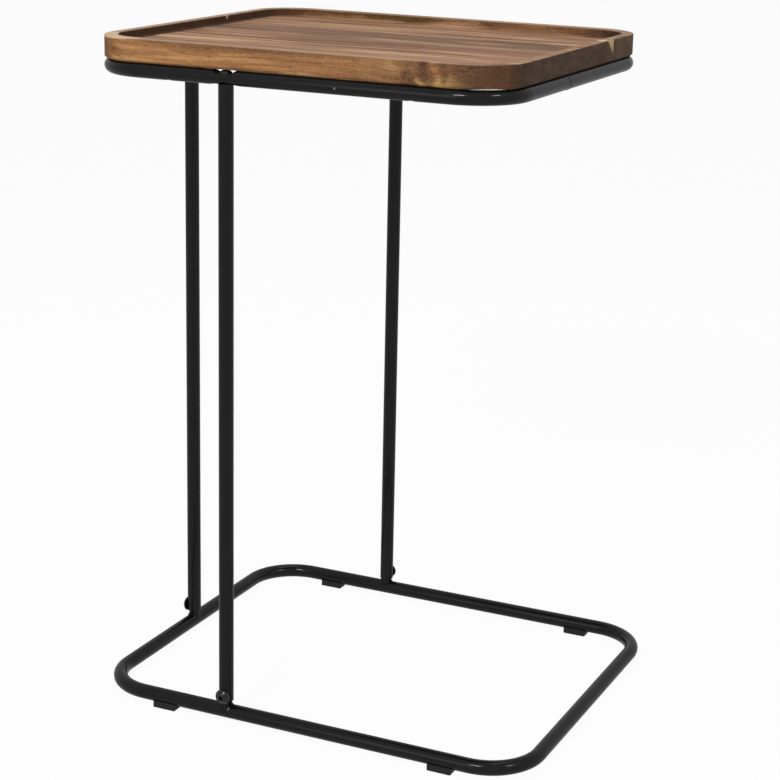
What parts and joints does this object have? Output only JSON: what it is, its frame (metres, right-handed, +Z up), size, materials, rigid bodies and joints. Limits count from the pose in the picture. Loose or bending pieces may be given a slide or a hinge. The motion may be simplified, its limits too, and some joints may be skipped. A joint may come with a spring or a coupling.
{
  "type": "c shaped side table",
  "caption": "C shaped side table: a rimmed wooden tray on a slim black round-tube frame whose low base loop slides under a sofa or bed.",
  "frame": {"origin": "centre of the base loop's outline, on the floor under the feet", "axes": "+Z up, +X towards the open end that slides over a seat, +Y towards the back; the table is mirror symmetric about the plane y = 0"},
  "size_m": [0.462, 0.378, 0.6468],
  "materials": {
    "tray_wood": "satin oiled, edge-glued boards with a pale sapwood streak",
    "frame_coating": "satin black powder coat",
    "bolt_black": "satin black oxide",
    "zinc_hardware": "zinc plated, dull",
    "foot_plastic": "matte moulded"
  },
  "bodies": {
    "root": {"tray_board_1": "tray_wood", "tray_board_2": "tray_wood", "tray_board_3": "tray_wood", "tray_board_4": "tray_wood", "tray_board_5": "tray_wood", "tray_board_6": "tray_wood", "upper_loop": "frame_coating", "upper_loop_seam_weld": "frame_coating", "upright_left": "frame_coating", "upright_front": "frame_coating", "upright_back": "frame_coating", "insert_plug_welds": "frame_coating", "base_loop": "frame_coating", "base_stub_left": "frame_coating", "base_stub_front": "frame_coating", "base_stub_back": "frame_coating", "stub_welds": "frame_coating", "top_bolts": "bolt_black", "side_bolts": "bolt_black", "top_insert_left": "zinc_hardware", "top_insert_front": "zinc_hardware", "top_insert_back": "zinc_hardware", "tray_screws": "zinc_hardware", "foot_screws": "zinc_hardware", "foot_front_left": "foot_plastic", "foot_front_right": "foot_plastic", "foot_back_left": "foot_plastic", "foot_back_right": "foot_plastic"}
  },
  "joints": []
}
